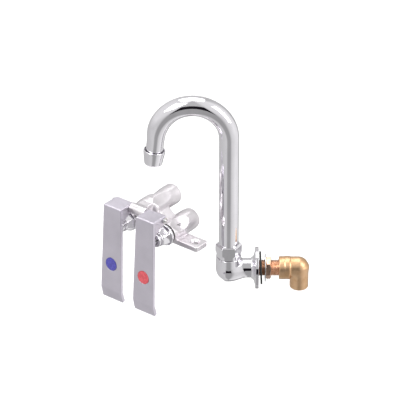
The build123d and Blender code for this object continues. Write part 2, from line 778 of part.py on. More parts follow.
for side, name in ((-1, "cold"), (1, "hot")):
    x = side * barrel_x
    pieces[f"{name}_pedal"] = make_pedal(side)
    pieces[f"{name}_dot"] = make_dot(side)
    pieces[f"{name}_bonnet"] = make_bonnet(side)
    pieces[f"{name}_bonnet_seal"] = make_ring(x, seal_y, seal_ring_r, seal_wire_r)
    pieces[f"{name}_stem"] = make_stem(side)
    pieces[f"{name}_stem_seal"] = make_ring(x, 0.0, piston_r - 0.78, 0.75)
    pieces[f"{name}_seat"] = revolved_barrel(x, [
        (front_bore_depth - 1.0, 5.0), (front_bore_depth - 1.0, 9.0), (front_bore_depth, 9.0),
        (front_bore_depth, seat_thread_r - 0.02), (seat_wall_end, seat_thread_r - 0.02),
        (seat_wall_end + 0.6, 6.2),
        (seat_wall_end + 0.6, 5.0),
    ])
    pieces[f"{name}_disc"] = revolved_barrel(x, [
        (disc_y, 2.02), (disc_y, disc_r), (disc_y + disc_thickness, disc_r),
        (disc_y + disc_thickness, 2.02),
    ])
    pieces[f"{name}_disc_nut"] = make_disc_nut(side)
    pieces[f"{name}_spring"] = make_spring(side)
    pieces[f"{name}_spring_retainer"] = revolved_barrel(x, [
        (chamber_end, retainer_hole_r), (chamber_end, retainer_r - 0.02), (inlet_start, retainer_r - 0.02),
        (inlet_start, retainer_hole_r),
    ])

# =============================== output ====================================================
os.makedirs("parts", exist_ok=True)
for name, piece in pieces.items():
    piece.part.label = name
    export_step(piece.part, f"parts/{name}.step")
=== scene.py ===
"""Looks of the knee-operated wall faucet set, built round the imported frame.

Shapes are worked out in millimetres. The spout uses the row's own frame. The knee valve
uses its own: x across, y to the rear, z up. Turned pieces are drawn as (radius, height)
outlines about a z axis and then laid along their real axis.
"""

import json
import math

import bpy
import numpy as np
from mathutils import Matrix, Vector


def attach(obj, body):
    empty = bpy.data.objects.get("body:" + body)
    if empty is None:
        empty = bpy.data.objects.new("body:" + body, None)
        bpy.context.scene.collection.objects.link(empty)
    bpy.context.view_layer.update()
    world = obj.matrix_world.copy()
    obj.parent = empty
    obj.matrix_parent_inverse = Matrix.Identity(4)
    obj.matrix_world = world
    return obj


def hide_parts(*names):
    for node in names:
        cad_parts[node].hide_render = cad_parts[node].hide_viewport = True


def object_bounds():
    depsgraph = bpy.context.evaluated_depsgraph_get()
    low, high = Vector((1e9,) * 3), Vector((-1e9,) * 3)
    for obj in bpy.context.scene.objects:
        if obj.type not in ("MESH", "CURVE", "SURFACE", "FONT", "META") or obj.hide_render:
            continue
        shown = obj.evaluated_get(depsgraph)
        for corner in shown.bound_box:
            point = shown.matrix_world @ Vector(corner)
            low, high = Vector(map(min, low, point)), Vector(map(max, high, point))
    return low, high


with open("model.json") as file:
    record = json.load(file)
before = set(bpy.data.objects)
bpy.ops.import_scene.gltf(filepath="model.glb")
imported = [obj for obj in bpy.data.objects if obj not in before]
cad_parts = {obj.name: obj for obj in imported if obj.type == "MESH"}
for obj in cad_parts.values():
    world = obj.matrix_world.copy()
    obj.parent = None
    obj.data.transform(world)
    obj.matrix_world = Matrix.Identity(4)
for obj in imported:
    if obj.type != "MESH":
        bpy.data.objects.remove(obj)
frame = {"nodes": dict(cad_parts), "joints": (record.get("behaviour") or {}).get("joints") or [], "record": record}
cad_low, cad_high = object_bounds()

# =============================== the frame's own data ===============================
MM = 0.001
record = frame["record"]
joints = {joint["name"]: joint for joint in frame["joints"]}
body_of_node = {node: body for body, nodes in record["behaviour"]["bodies"].items() for node in nodes}
slot_of_node = {part["node"]: part["material_slot"] for part in record["subparts"]}


def frame_matrix(origin, across, along, up):
    """Matrix from a frame in millimetres to the row frame in metres."""
    axes = Matrix((across, along, up)).transposed().to_4x4()
    return Matrix.Translation(origin) @ axes @ Matrix.Scale(MM, 4)


SPOUT = frame_matrix((0, 0, 0), (1, 0, 0), (0, 1, 0), (0, 0, 1))
Z_TO_X = Matrix.Rotation(math.radians(90), 4, "Y")
Z_TO_Y = Matrix.Rotation(math.radians(-90), 4, "X")

# the hinge pin's place in the valve's frame, in millimetres
HINGE_Y, HINGE_Z = -16.5, 30.0
hinges = [Vector(joints[name]["pos_m"]) for name in ("cold_pedal_hinge", "hot_pedal_hinge")]
valve_x = (hinges[1] - hinges[0]).normalized()
valve_y = Vector((0, 0, 1)).cross(valve_x)
valve_origin = (hinges[0] + hinges[1]) / 2 - valve_y * HINGE_Y * MM - Vector((0, 0, HINGE_Z * MM))
VALVE = frame_matrix(valve_origin, valve_x, valve_y, (0, 0, 1))

riser_x = joints["spout_swivel"]["pos_m"][0] / MM


# =============================== shapes by distance ===============================
def length(*parts):
    return np.sqrt(sum(part * part for part in parts))


def join(a, b, fillet):
    """Both shapes together, with a round fillet where they meet."""
    return np.maximum(fillet, np.minimum(a, b)) - length(np.maximum(fillet - a, 0), np.maximum(fillet - b, 0))


def meet(a, b, edge):
    """Where both shapes are, with the new edge rounded."""
    return np.minimum(-edge, np.maximum(a, b)) + length(np.maximum(edge + a, 0), np.maximum(edge + b, 0))


def cut(a, b, edge):
    """The first shape without the second, with the new edge rounded."""
    return meet(a, -b, edge)


def rounded(corners, turn=math.radians(15)):
    """Closed outline from (u, v, radius) corners, each turned into an arc of its radius."""
    points = []
    for i, (u, v, radius) in enumerate(corners):
        here = np.array((u, v), float)
        before = np.array(corners[i - 1][:2]) - here
        after = np.array(corners[(i + 1) % len(corners)][:2]) - here
        before /= np.linalg.norm(before)
        after /= np.linalg.norm(after)
        half = math.acos(np.clip(before @ after, -1, 1)) / 2
        if radius == 0 or half > math.pi / 2 - 0.01:
            points.append(tuple(here))
            continue
        middle = (before + after) / np.linalg.norm(before + after)
        centre = here + middle * radius / math.sin(half)
        start = here + before * radius / math.tan(half) - centre
        sweep = math.pi - 2 * half
        side = -1 if before[0] * after[1] - before[1] * after[0] > 0 else 1
        steps = max(2, math.ceil(sweep / turn))
        for k in range(steps + 1):
            angle = side * sweep * k / steps
            c, s = math.cos(angle), math.sin(angle)
            points.append((centre[0] + c * start[0] - s * start[1], centre[1] + s * start[0] + c * start[1]))
    return points


def outline_distance(u, v, corners):
    """Signed distance to a closed outline, negative inside it."""
    nearest = np.full(u.shape, np.inf)
    inside = np.zeros(u.shape, bool)
    for (au, av), (bu, bv) in zip(corners, corners[1:] + corners[:1]):
        edge_u, edge_v = bu - au, bv - av
        share = np.clip(((u - au) * edge_u + (v - av) * edge_v) / (edge_u**2 + edge_v**2), 0, 1)
        nearest = np.minimum(nearest, (u - au - share * edge_u) ** 2 + (v - av - share * edge_v) ** 2)
        if edge_v:
            inside ^= ((av > v) != (bv > v)) & (u < au + (v - av) / edge_v * edge_u)
    return np.where(inside, -1, 1) * np.sqrt(nearest)


def rod(across, along, start, end, radius, edge):
    """Round rod: across is the distance from its axis, along the place on it."""
    return meet(across - radius, np.maximum(start - along, along - end), edge)


def hexagon(u, v, flats, corner, turn=0.0):
    """Like a radius, but to the flats of a hexagon with softly rounded corners."""
    reach = flats / 2 / math.cos(math.radians(30))
    angles = [math.radians(60 * k + turn) for k in range(6)]
    outline = rounded([(math.cos(angle) * reach, math.sin(angle) * reach, corner) for angle in angles])
    return flats / 2 + outline_distance(u, v, outline)


def slope(shape, points, reach=0.05):
    """Unit direction in which the distance grows, at each point."""
    parts = []
    for k in range(3):
        step = np.zeros(3)
        step[k] = reach
        parts.append(shape(*(points + step).T) - shape(*(points - step).T))
    steepest = np.stack(parts, -1)
    return steepest / np.maximum(np.linalg.norm(steepest, axis=1, keepdims=True), 1e-9)


def surface(shape, low, high, step):
    """Points, faces and normals of the surface where shape(x, y, z) is zero.

    One point per grid cell that the surface passes through, moved on to the surface."""
    grids = [np.arange(a - 2 * step, b + 3 * step, step) for a, b in zip(low, high)]
    distance = shape(*np.meshgrid(*grids, indexing="ij"))
    cells = tuple(n - 1 for n in distance.shape)

    def corner(offset):
        return distance[tuple(slice(o, o + n) for o, n in zip(offset, cells))]

    total = np.zeros(cells + (3,))
    hits = np.zeros(cells)
    for axis in range(3):
        for side in range(4):
            start = [0, 0, 0]
            start[(axis + 1) % 3] = side % 2
            start[(axis + 2) % 3] = side // 2
            end = list(start)
            end[axis] = 1
            a, b = corner(start), corner(end)
            crossed = (a < 0) != (b < 0)
            share = np.where(crossed, a / np.where(crossed, a - b, 1), 0)
            hits += crossed
            total += crossed[..., None] * np.array(start, float)
            total[..., axis] += share
    active = hits > 0
    index = np.full(cells, -1)
    index[active] = np.arange(active.sum())
    points = np.argwhere(active) + total[active] / hits[active][:, None]
    points = points * step + np.array([grid[0] for grid in grids])

    inside = distance < 0
    faces = []
    for axis in range(3):
        u, v = (axis + 1) % 3, (axis + 2) % 3
        lower = [slice(1, -1)] * 3
        lower[axis] = slice(0, -1)
        upper = list(lower)
        upper[axis] = slice(1, None)
        first, second = inside[tuple(lower)], inside[tuple(upper)]
        edges = np.argwhere(first != second)
        outward = first[tuple(edges.T)]
        edges[:, u] += 1
        edges[:, v] += 1
        ring = []
        for back_u, back_v in ((1, 1), (0, 1), (0, 0), (1, 0)):
            cell = edges.copy()
            cell[:, u] -= back_u
            cell[:, v] -= back_v
            ring.append(index[tuple(cell.T)])
        quads = np.stack(ring, -1)
        quads[~outward] = quads[~outward][:, ::-1]
        faces.append(quads)
    faces = np.concatenate(faces)

    for _ in range(4):
        move = slope(shape, points) * shape(*points.T)[:, None]
        points -= np.clip(move, -step / 2, step / 2)
    return points, faces.tolist(), slope(shape, points)


# =============================== shapes by rows of points ===============================
def turned(outline, segments=128):
    """Solid of revolution about z from a closed (radius, height) outline."""
    outline = np.array(outline)
    area = sum(a[0] * b[1] - b[0] * a[1] for a, b in zip(outline, np.roll(outline, -1, 0)))
    if area < 0:
        outline = outline[::-1]
    ahead = np.roll(outline, -1, 0) - outline
    lengths = np.linalg.norm(ahead, axis=1, keepdims=True)
    facing = np.stack([ahead[:, 1], -ahead[:, 0]], -1)
    facing = facing * lengths + np.roll(facing * lengths, 1, 0)
    facing /= np.linalg.norm(facing, axis=1, keepdims=True)
    angles = np.linspace(0, 2 * math.pi, segments, endpoint=False)
    points, normals, rows = [], [], []
    for (radius, height), (out, up) in zip(outline, facing):
        on_axis = radius < 1e-6
        ring = angles[:1] if on_axis else angles
        rows.append([len(points) + (0 if on_axis else k) for k in range(segments)])
        for angle in ring:
            c, s = math.cos(angle), math.sin(angle)
            points.append((radius * c, radius * s, height))
            normals.append((0, 0, 1 if up > 0 else -1) if on_axis else (out * c, out * s, up))
    faces = []
    for row, following in zip(rows, rows[1:] + rows[:1]):
        for k in range(segments):
            n = (k + 1) % segments
            face = tuple(dict.fromkeys((row[k], row[n], following[n], following[k])))
            if len(face) > 2:
                faces.append(face)
    return np.array(points), faces, np.array(normals)


def sleeve(rings, normals, closed):
    """Surface through rings of points, joined end to end when closed."""
    rows, count = len(rings), len(rings[0])
    faces = []
    for i in range(rows if closed else rows - 1):
        j = (i + 1) % rows
        for k in range(count):
            n = (k + 1) % count
            faces.append((i * count + k, i * count + n, j * count + n, j * count + k))
    return np.concatenate(rings), faces, np.concatenate(normals)


# =============================== materials ===============================
def new_material(name):
    material = bpy.data.materials.new(name)
    material.use_nodes = True
    return material, material.node_tree


def add(tree, kind, **inputs):
    """A node with values set, or sockets linked, by input name or number."""
    node = tree.nodes.new(kind)
    for key, value in inputs.items():
        socket = node.inputs[int(key[1:])] if key[0] == "i" and key[1:].isdigit() else node.inputs[key]
        if isinstance(value, bpy.types.NodeSocket):
            tree.links.new(value, socket)
        else:
            socket.default_value = value
    return node


def object_points(tree, stretch=(1, 1, 1), turn=0.0):
    """Coordinates fixed to the piece, in metres, stretched for brushed or drawn surfaces."""
    coordinates = tree.nodes.new("ShaderNodeTexCoord")
    turned_about_z = add(tree, "ShaderNodeMapping", Vector=coordinates.outputs["Object"])
    turned_about_z.inputs["Rotation"].default_value = (0, 0, turn)
    mapping = add(tree, "ShaderNodeMapping", Vector=turned_about_z.outputs[0])
    mapping.inputs["Scale"].default_value = stretch
    return mapping.outputs[0]


def noise(tree, points, scale, detail=3.0, roughness=0.55):
    node = add(tree, "ShaderNodeTexNoise", Vector=points, Scale=scale, Detail=detail, Roughness=roughness)
    return node.outputs["Fac"]


def ramp(tree, source, stops):
    """Colour ramp from (place, grey or colour) stops."""
    node = add(tree, "ShaderNodeValToRGB", Fac=source)
    elements = node.color_ramp.elements
    while len(elements) < len(stops):
        elements.new(1.0)
    for element, (where, value) in zip(elements, stops):
        element.position = where
        colour = (value,) * 3 if isinstance(value, (int, float)) else value
        element.color = (*colour, 1.0)
    return node.outputs["Color"]


def bumped(tree, height, strength, distance):
    return add(tree, "ShaderNodeBump", Height=height, Strength=strength, Distance=distance).outputs[0]


def finish_material(tree, colour, roughness, metallic, normal=None, **constants):
    shader = tree.nodes["Principled BSDF"]
    tree.links.new(colour, shader.inputs["Base Color"])
    tree.links.new(roughness, shader.inputs["Roughness"])
    shader.inputs["Metallic"].default_value = metallic
    if normal is not None:
        tree.links.new(normal, shader.inputs["Normal"])
    for name, value in constants.items():
        shader.inputs[name.replace("_", " ")].default_value = value


def shades(colour, *factors):
    return [tuple(min(1.0, channel * factor) for channel in colour) for factor in factors]


def polished_chrome():
    """Mirror plate: faint smears in the gloss and the slightest waviness of polished brass."""
    material, tree = new_material("polished_chrome")
    points = object_points(tree)
    smears = noise(tree, object_points(tree, (1.0, 1.0, 0.35)), 70.0, 4.0)
    specks = noise(tree, points, 900.0, 2.0)
    dark, light = shades((0.80, 0.785, 0.815), 0.96, 1.04)
    colour = ramp(tree, smears, [(0.35, dark), (0.65, light)])
    roughness = ramp(tree, smears, [(0.30, 0.035), (0.70, 0.085)])
    waves = add(tree, "ShaderNodeMath", i0=noise(tree, points, 45.0, 2.0), i1=specks)
    waves.operation = "MULTIPLY"
    normal = bumped(tree, waves.outputs[0], 0.05, 0.0004)
    finish_material(tree, colour, roughness, 1.0, normal)
    return material


def satin_chrome():
    """Plated sand casting: soft sheen, a fine grain and broad uneven patches."""
    material, tree = new_material("satin_chrome")
    points = object_points(tree)
    patches = noise(tree, points, 55.0, 4.0)
    grain = noise(tree, points, 1500.0, 3.0)
    dimples = noise(tree, points, 420.0, 3.0)
    dark, light = shades((0.80, 0.765, 0.79), 0.90, 1.06)
    colour = ramp(tree, patches, [(0.30, dark), (0.70, light)])
    roughness = ramp(tree, patches, [(0.30, 0.30), (0.70, 0.40)])
    height = add(tree, "ShaderNodeMath", i0=grain, i1=0.35, i2=dimples)
    height.operation = "MULTIPLY_ADD"
    normal = bumped(tree, height.outputs[0], 0.22, 0.00035)
    finish_material(tree, colour, roughness, 1.0, normal)
    return material


def satin_pedal():
    """Linished plate under satin chrome: fine grain down the pedal, a lavender cast, light rubs."""
    material, tree = new_material("satin_pedal")
    turn = -math.atan2(valve_x.y, valve_x.x)
    grain = noise(tree, object_points(tree, (1.0, 1.0, 0.03), turn), 2600.0, 3.0)
    patches = noise(tree, object_points(tree), 38.0, 4.0)
    rubs = noise(tree, object_points(tree, (1.0, 1.0, 0.25), turn), 190.0, 5.0, 0.7)
    dark, light = shades((0.665, 0.63, 0.70), 0.94, 1.05)
    colour = ramp(tree, patches, [(0.30, dark), (0.70, light)])
    roughness = ramp(tree, rubs, [(0.35, 0.34), (0.75, 0.46)])
    normal = bumped(tree, grain, 0.10, 0.0002)
    finish_material(tree, colour, roughness, 1.0, normal)
    return material


def cast_brass():
    """Bare cast brass: a sandy skin, dull tan with warmer and darker patches."""
    material, tree = new_material("cast_brass")
    points = object_points(tree)
    patches = noise(tree, points, 90.0, 5.0, 0.6)
    sand = noise(tree, points, 1300.0, 4.0, 0.6)
    stops = [(0.25, (0.56, 0.34, 0.17)), (0.50, (0.70, 0.45, 0.26)), (0.78, (0.80, 0.55, 0.34))]
    colour = ramp(tree, patches, stops)
    roughness = ramp(tree, patches, [(0.30, 0.44), (0.70, 0.32)])
    normal = bumped(tree, sand, 0.20, 0.0003)
    finish_material(tree, colour, roughness, 1.0, normal)
    return material


def turned_brass():
    """Machined brass, pinker and brighter, with a trace of tool marks and tarnish."""
    material, tree = new_material("turned_brass")
    points = object_points(tree)
    tarnish = noise(tree, points, 160.0, 4.0)
    marks = noise(tree, object_points(tree, (1.0, 0.1, 0.1)), 2400.0, 2.0)
    stops = [(0.28, (0.55, 0.33, 0.20)), (0.55, (0.80, 0.54, 0.40)), (0.80, (0.88, 0.64, 0.50))]
    colour = ramp(tree, tarnish, stops)
    roughness = ramp(tree, tarnish, [(0.30, 0.36), (0.70, 0.24)])
    normal = bumped(tree, marks, 0.12, 0.0002)
    finish_material(tree, colour, roughness, 1.0, normal)
    return material


def black_rubber():
    """Moulded rubber with a matt bloom."""
    material, tree = new_material("black_rubber")
    points = object_points(tree)
    bloom = noise(tree, points, 140.0, 5.0)
    pores = noise(tree, points, 1700.0, 3.0)
    colour = ramp(tree, bloom, [(0.35, 0.010), (0.75, 0.028)])
    roughness = ramp(tree, bloom, [(0.30, 0.50), (0.70, 0.68)])
    normal = bumped(tree, pores, 0.30, 0.0002)
    finish_material(tree, colour, roughness, 0.0, normal)
    return material


def stainless_steel():
    """Plain stainless with a directionless fine scratch."""
    material, tree = new_material("stainless_steel")
    points = object_points(tree)
    scratches = noise(tree, object_points(tree, (1.0, 0.15, 1.0), 0.6), 2000.0, 3.0)
    patches = noise(tree, points, 130.0, 3.0)
    colour = ramp(tree, patches, [(0.30, 0.62), (0.70, 0.74)])
    roughness = ramp(tree, scratches, [(0.30, 0.22), (0.75, 0.36)])
    normal = bumped(tree, scratches, 0.10, 0.0002)
    finish_material(tree, colour, roughness, 1.0, normal)
    return material


def insert_plastic():
    """Moulded insert of the aerator."""
    material, tree = new_material("insert_plastic")
    points = object_points(tree)
    cloud = noise(tree, points, 260.0, 3.0)
    colour = ramp(tree, cloud, [(0.30, (0.70, 0.70, 0.68)), (0.70, (0.80, 0.80, 0.78))])
    roughness = ramp(tree, cloud, [(0.30, 0.42), (0.70, 0.52)])
    normal = bumped(tree, noise(tree, points, 1500.0), 0.12, 0.0001)
    finish_material(tree, colour, roughness, 0.0, normal)
    return material


def enamel(name, colour):
    """Colour insert: glossy, very slightly uneven."""
    material, tree = new_material(name)
    points = object_points(tree)
    cloud = noise(tree, points, 220.0, 4.0)
    dark, light = shades(colour, 0.85, 1.12)
    tint = ramp(tree, cloud, [(0.30, dark), (0.70, light)])
    roughness = ramp(tree, cloud, [(0.30, 0.22), (0.70, 0.32)])
    normal = bumped(tree, noise(tree, points, 700.0), 0.08, 0.0002)
    finish_material(tree, tint, roughness, 0.0, normal)
    return material


looks = {
    "polished_chrome": polished_chrome(),
    "satin_chrome": satin_chrome(),
    "satin_pedal": satin_pedal(),
    "cast_brass": cast_brass(),
    "turned_brass": turned_brass(),
    "black_rubber": black_rubber(),
    "stainless_steel": stainless_steel(),
    "insert_plastic": insert_plastic(),
    "blue_enamel": enamel("blue_enamel", (0.060, 0.055, 0.31)),
    "red_enamel": enamel("red_enamel", (0.52, 0.070, 0.085)),
}


def show(node, shape, matrix):
    """Puts a finished mesh in place of a CAD node, on the node's body and with its slot's look."""
    points, faces, normals = shape
    mesh = bpy.data.meshes.new(node + "_surface")
    mesh.from_pydata(points.tolist(), [], faces)
    mesh.transform(matrix)
    mesh.polygons.foreach_set("use_smooth", [True] * len(mesh.polygons))
    turn = np.array(matrix.to_3x3())
    facing = normals @ turn.T
    facing /= np.linalg.norm(facing, axis=1, keepdims=True)
    mesh.update()
    mesh.normals_split_custom_set_from_vertices(facing.tolist())
    mesh.materials.append(looks[slot_of_node[node]])
    piece = bpy.data.objects.new(node + "_surface", mesh)
    bpy.context.scene.collection.objects.link(piece)
    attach(piece, body_of_node[node])
    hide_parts(node)


for node, solid in frame["nodes"].items():
    solid.data.materials.clear()
    solid.data.materials.append(looks[slot_of_node[node]])

# =============================== the spout ===============================
TUBE_R, TUBE_WALL = 12.5, 1.6
TUBE_FOOT_Z = 29.8
ARC_R, ARC_Z, ARC_SWEEP = 45.0, 186.0, 174.0
TAIL_R, TAIL_LENGTH = 10.8, 30.0
TAPER_START, TAPER_LENGTH = -16.0, 27.0
AXIS_R, SEAM_Z = 16.4, 17.5
ARM_R, WATERWAY_R, SHANK_CREST_R = 12.5, 7.5, 10.45
NUT_FLATS, NUT_HOLE_R = 29.1, 12.58
SPIGOT_R, SWIVEL_BORE_R = 13.45, 11.0

tail_angle = math.radians(180 - ARC_SWEEP)
tail_direction = Vector((-math.sin(tail_angle), 0, -math.cos(tail_angle)))
tail_start = Vector((riser_x - ARC_R * (1 + math.cos(tail_angle)), 0, ARC_Z + ARC_R * math.sin(tail_angle)))
TAIL = SPOUT @ Matrix.Translation(tail_start) @ tail_direction.to_track_quat("Z", "Y").to_matrix().to_4x4()


def smooth_step(value, start, end):
    share = np.clip((value - start) / (end - start), 0, 1)
    return share * share * (3 - 2 * share)


def gooseneck():
    """Bent tube: straight riser, arc and a tail that draws down in a soft cone."""
    riser_length = ARC_Z - TUBE_FOOT_Z
    arc_length = ARC_R * math.radians(ARC_SWEEP)
    stops = [0.0, 0.25, *np.linspace(0.5, riser_length, 24), *(riser_length + np.linspace(1.5, arc_length, 90))]
    stops += list(riser_length + arc_length + np.linspace(1.0, TAIL_LENGTH - 0.4, 24))
    stops.append(riser_length + arc_length + TAIL_LENGTH)
    angles = np.linspace(0, 2 * math.pi, 128, endpoint=False)
    outer, inner, outer_facing, inner_facing = [], [], [], []
    for stop in stops:
        turn = np.clip((stop - riser_length) / ARC_R, 0, math.radians(ARC_SWEEP))
        past = stop - riser_length - arc_length
        centre = np.array((riser_x - ARC_R * (1 - math.cos(turn)), 0, ARC_Z + ARC_R * math.sin(turn)))
        if stop < riser_length:
            centre[2] = TUBE_FOOT_Z + stop
        if past > 0:
            centre = centre + past * np.array(tail_direction)
        radius = TUBE_R - (TUBE_R - TAIL_R) * smooth_step(past, TAPER_START, TAPER_START + TAPER_LENGTH)
        side = np.array((math.cos(turn), 0, math.sin(turn)))
        facing = np.outer(np.cos(angles), side) + np.outer(np.sin(angles), (0, 1, 0))
        outer.append(centre + radius * facing)
        inner.append(centre + (radius - TUBE_WALL) * facing)
        outer_facing.append(facing)
        inner_facing.append(-facing)
    return sleeve(outer + inner[::-1], outer_facing + inner_facing[::-1], closed=True)


show("gooseneck_tube", gooseneck(), SPOUT)

# Flared cup of the aerator: thin rim, hollow top round the tube, soft lower edge.
show("aerator_shell", turned(rounded([
    (12.3, 20.5, 0.3), (13.5, 20.5, 0.5), (13.45, 24.0, 3.0), (11.35, 38.6, 1.6), (10.2, 40.0, 0.8),
    (8.6, 40.0, 0.3), (8.6, 38.8, 0.2), (9.6, 38.6, 0.2), (9.6, 32.5, 0.3), (10.86, 32.5, 0.2),
    (10.86, 24.6, 0.3), (12.3, 23.0, 0.8),
])), TAIL)


def nut_shape(x, y, z):
    """Hexagon with a flat chamfer to the tube and a round skirt that bites into the flats."""
    x = x - riser_x
    radius = length(x, y)
    flats = hexagon(x, y, NUT_FLATS, 0.7)
    prism = outline_distance(flats, z, rounded([(9, 15, 0), (14.55, 15, 0), (14.55, 34.1, 0.35), (12.75, 36.5, 0.3),
                                                (9, 36.5, 0)]))
    skirt = outline_distance(radius, z, rounded([(9, 17.65, 0), (15.5, 17.65, 0.5), (15.5, 22.6, 2.5),
                                                 (18.6, 27.4, 0.6), (18.6, 38, 0), (9, 38, 0)]))
    body = meet(prism, skirt, 0.35)
    body = cut(body, radius - NUT_HOLE_R, 0.25)
    return cut(body, rod(radius, z, 0, 30.0, 13.5, 0.1), 0.1)


show("swivel_nut", surface(nut_shape, (riser_x - 17, -17, 17), (riser_x + 17, 17, 37), 0.4), SPOUT)


def elbow_shape(x, y, z):
    """Upright barrel with a round bottom, flowing into the arm."""
    x_riser = x - riser_x
    radius = length(x_riser, y)
    ball = length(x_riser, y, z) - AXIS_R
    barrel = np.maximum(radius - AXIS_R + 0.022 * np.maximum(z - 2, 0), -z)
    barrel = np.minimum(barrel, ball)
    arm = np.maximum(length(y, z) - ARM_R, -x_riser)
    fillet = 10.0 - 7.0 * smooth_step(z, -2.0, 11.0)
    body = join(barrel, arm, fillet)
    body = meet(body, z - SEAM_Z, 0.6)
    body = meet(body, x + 3.0, 0.3)
    spigot = rod(radius, z, 10, 27, SPIGOT_R, 0.3)
    body = np.minimum(body, spigot)
    body = cut(body, rod(radius, z, 1, 40, SWIVEL_BORE_R, 0.4), 0.3)
    body = cut(body, np.maximum(length(y, z) - WATERWAY_R, -x_riser), 0.3)
    return cut(body, rod(length(y, z), x, -16, 10, 10.5, 0.2), 0.2)


show("elbow_body", surface(elbow_shape, (riser_x - 17, -18, -17), (-3, 18, 27), 0.6), SPOUT)

# Wall flange: a trumpet that ends in a thick flat rim, with a groove round its back.
trumpet = [(25.3 - 11.5 * math.cos(t), -9.2 + 4.7 * math.sin(t)) for t in np.linspace(0, math.pi / 2, 24)]
flange_outline = [(12.52, -9.2)] + trumpet + rounded([
    (25.35, -4.4, 0), (26.6, -3.9, 0.7), (26.6, 0, 0.5), (24.6, 0, 0.4), (24.2, -1.5, 0.4), (14.5, -1.5, 0.6),
    (13.8, 0, 0.4), (11.05, 0, 0.2), (11.05, -3.0, 0.2), (12.52, -3.0, 0),
])
show("wall_flange", turned(flange_outline, 192), SPOUT @ Z_TO_X)


def threaded_rod(start, end, crest, bore, pitch, depth):
    """Right-hand thread as one wavy sleeve, chamfered at both ends, on a tube."""
    segments = 72
    angles = np.linspace(0, 2 * math.pi, segments, endpoint=False)
    heights = np.linspace(start, end, math.ceil((end - start) / pitch * 10) + 1)
    rings, facings = [], []
    for height in heights:
        phase = (height / pitch - angles / (2 * math.pi)) % 1.0
        wave = np.abs(2 * phase - 1)
        lead = min(1.0, (height - start) / 1.0, (end - height) / 1.0)
        radius = crest - depth * np.clip(1.25 * wave - 0.1, 0, 1) - (1 - lead) * 0.8
        slant = np.where((wave > 0.08) & (wave < 0.88), 2.5 * depth / pitch * np.sign(0.5 - phase), 0)
        rings.append(np.stack([radius * np.cos(angles), radius * np.sin(angles), np.full(segments, height)], -1))
        facing = np.stack([np.cos(angles), np.sin(angles), -slant], -1)
        facings.append(facing / np.linalg.norm(facing, axis=1, keepdims=True))
    for height, up in ((end, 1), (end - 0.01, 0), (start + 0.01, 0), (start, -1)):
        rings.append(np.stack([bore * np.cos(angles), bore * np.sin(angles), np.full(segments, height)], -1))
        out = -1.0 if up == 0 else 0.0
        facings.append(np.stack([out * np.cos(angles), out * np.sin(angles), np.full(segments, float(up))], -1))
    return sleeve(rings, facings, closed=True)


PIPE_PITCH = 25.4 / 14
show("threaded_shank", threaded_rod(-16, 39, SHANK_CREST_R, WATERWAY_R, PIPE_PITCH, 1.0), SPOUT @ Z_TO_X)

# Washers on the shank. The rubber one hangs a little askew.
rubber_tilt = Matrix.Rotation(math.radians(-2.8), 4, "Y")
show("rubber_washer", turned(rounded([
    (11.25, -1.2, 0.35), (21.0, -1.2, 0.8), (21.0, 1.2, 0.8), (11.25, 1.2, 0.35),
])), SPOUT @ Matrix.Translation((2.9, 0, 0)) @ rubber_tilt @ Z_TO_X)
show("steel_washer", turned(rounded([
    (10.8, 7.9, 0.15), (17.7, 7.9, 0.35), (17.7, 9.1, 0.25), (10.8, 9.1, 0.15),
])), SPOUT @ Z_TO_X)


LOCK_NUT_FLATS, LOCK_NUT_FRONT_X, LOCK_NUT_REAR_X = 25.4, 9.2, 15.7


def lock_nut_shape(x, y, z):
    """Hexagonal nut, turned down at both faces, with a chamfered bore."""
    radius = length(y, z)
    flats = hexagon(y, z, LOCK_NUT_FLATS, 0.5, turn=12.0)
    prism = meet(flats - LOCK_NUT_FLATS / 2, np.maximum(LOCK_NUT_FRONT_X - x, x - LOCK_NUT_REAR_X), 0.3)
    faces = outline_distance(x, radius, rounded([
        (LOCK_NUT_FRONT_X, 0, 0), (LOCK_NUT_FRONT_X, LOCK_NUT_FLATS / 2, 0.3), (10.5, 14.9, 0.3),
        (14.4, 14.9, 0.3), (LOCK_NUT_REAR_X, LOCK_NUT_FLATS / 2, 0.3), (LOCK_NUT_REAR_X, 0, 0),
    ]))
    return cut(meet(prism, faces, 0.25), radius - 10.5, 0.5)


show("lock_nut", surface(lock_nut_shape, (9, -15, -15), (16, 15, 15), 0.35), SPOUT)


SOCKET_R, KNEE_X, KNEE_Z, KNEE_R, LEG_X, LEG_R = 14.6, 50.3, 1.4, 13.2, 51.6, 11.9


def brass_elbow_shape(x, y, z):
    """Wide socket, rounded knee and a narrower leg."""
    socket = rod(length(y, z), x, 25.75, 39.6, SOCKET_R, 1.0)
    throat = rod(length(y, z - KNEE_Z), x, 34, KNEE_X, KNEE_R, 0.3)
    knee = length(x - KNEE_X, y, z - KNEE_Z) - KNEE_R
    leg = rod(length(x - LEG_X, y), z, -27.5, 4, LEG_R, 1.6)
    body = join(socket, np.minimum(throat, knee), 2.0)
    body = join(body, leg, 2.5)
    body = cut(body, rod(length(y, z), x, 0, 40.5, 10.5, 0.3), 0.6)
    body = cut(body, np.maximum(length(y, z) - WATERWAY_R, x - LEG_X), 0.3)
    body = cut(body, rod(length(x - LEG_X, y), z, -40, -12.5, 8.2, 0.4), 0.6)
    return cut(body, np.maximum(length(x - LEG_X, y) - 7.0, z), 0.3)


show("brass_elbow", surface(brass_elbow_shape, (25, -15, -28), (64, 15, 15.5), 0.6), SPOUT)

# =============================== the double knee valve ===============================
BARREL_X, BARREL_R, BARREL_LENGTH = 29.5, 14.6, 52.0
CENTRE_Z, CENTRE_R = 25.0, 13.5
PEDAL_X = 26.0
EAR_HOLE_X, EAR_HOLE_Y, EAR_TOP_Z = 62, 17, -8
EAR_HOLE_R = 3.6


